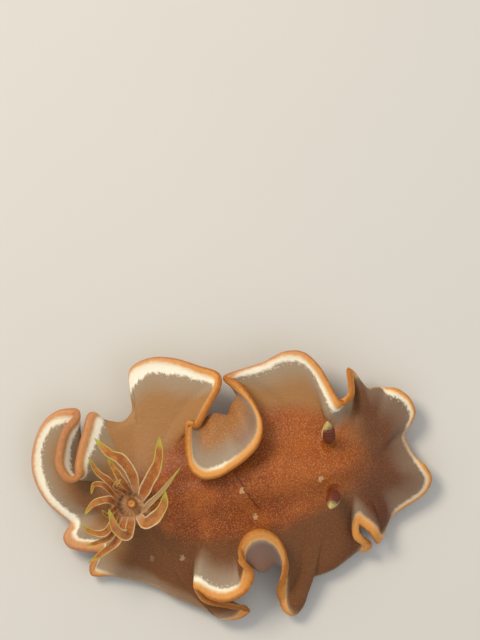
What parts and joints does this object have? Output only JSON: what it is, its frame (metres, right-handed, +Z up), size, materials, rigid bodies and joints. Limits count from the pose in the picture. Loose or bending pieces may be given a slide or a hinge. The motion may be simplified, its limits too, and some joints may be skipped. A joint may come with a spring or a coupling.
{
  "type": "sea slug",
  "caption": "Life-size crawling sea slug with a wide ruffled mantle edge, ringed rhinophores and a gill rosette, on a flat foot sole.",
  "frame": {"origin": "on the flat sole of the foot, under the middle of the body, at floor level", "axes": "+X towards the head, +Y towards the animal's left, +Z up"},
  "size_m": [0.0436, 0.0294, 0.0106],
  "materials": {
    "anal_papilla": "satin, moist skin",
    "body_side": "satin, moist skin",
    "foot": "satin, moist skin",
    "gill_leaf_front": "satin, moist skin",
    "gill_leaf_front_left": "satin, moist skin",
    "gill_leaf_front_right": "satin, moist skin",
    "gill_leaf_inner_left": "satin, moist skin",
    "gill_leaf_left": "satin, moist skin",
    "gill_leaf_rear": "satin, moist skin",
    "gill_leaf_rear_hook": "satin, moist skin",
    "gill_leaf_rear_left": "satin, moist skin",
    "gill_leaf_rear_long": "satin, moist skin",
    "gill_leaf_rear_right": "satin, moist skin",
    "gill_leaf_rear_short": "satin, moist skin",
    "gill_leaf_rear_under": "satin, moist skin",
    "gill_leaf_right": "satin, moist skin",
    "gill_leaf_right_curl": "satin, moist skin",
    "gill_wall": "satin, moist skin",
    "head": "satin, moist skin",
    "mantle_head": "satin, moist skin",
    "mantle_left_front": "satin, moist skin",
    "mantle_left_rear": "satin, moist skin",
    "mantle_right_edge": "satin, moist skin",
    "mantle_right_front": "satin, moist skin",
    "mantle_right_rear": "satin, moist skin",
    "mantle_tail": "satin, moist skin",
    "notum": "satin, moist skin",
    "oral_tentacle_left": "satin, moist skin",
    "oral_tentacle_right": "satin, moist skin",
    "rhinophore_left": "satin, moist skin",
    "rhinophore_right": "satin, moist skin",
    "rhinophore_sheath_left": "satin, moist skin",
    "rhinophore_sheath_right": "satin, moist skin"
  },
  "bodies": {
    "root": {"anal_papilla": "anal_papilla", "body_side": "body_side", "foot": "foot", "gill_leaf_front": "gill_leaf_front", "gill_leaf_front_left": "gill_leaf_front_left", "gill_leaf_front_right": "gill_leaf_front_right", "gill_leaf_inner_left": "gill_leaf_inner_left", "gill_leaf_left": "gill_leaf_left", "gill_leaf_rear": "gill_leaf_rear", "gill_leaf_rear_hook": "gill_leaf_rear_hook", "gill_leaf_rear_left": "gill_leaf_rear_left", "gill_leaf_rear_long": "gill_leaf_rear_long", "gill_leaf_rear_right": "gill_leaf_rear_right", "gill_leaf_rear_short": "gill_leaf_rear_short", "gill_leaf_rear_under": "gill_leaf_rear_under", "gill_leaf_right": "gill_leaf_right", "gill_leaf_right_curl": "gill_leaf_right_curl", "gill_wall": "gill_wall", "head": "head", "mantle_head": "mantle_head", "mantle_left_front": "mantle_left_front", "mantle_left_rear": "mantle_left_rear", "mantle_right_edge": "mantle_right_edge", "mantle_right_front": "mantle_right_front", "mantle_right_rear": "mantle_right_rear", "mantle_tail": "mantle_tail", "notum": "notum", "oral_tentacle_left": "oral_tentacle_left", "oral_tentacle_right": "oral_tentacle_right", "rhinophore_left": "rhinophore_left", "rhinophore_right": "rhinophore_right", "rhinophore_sheath_left": "rhinophore_sheath_left", "rhinophore_sheath_right": "rhinophore_sheath_right"}
  },
  "joints": []
}
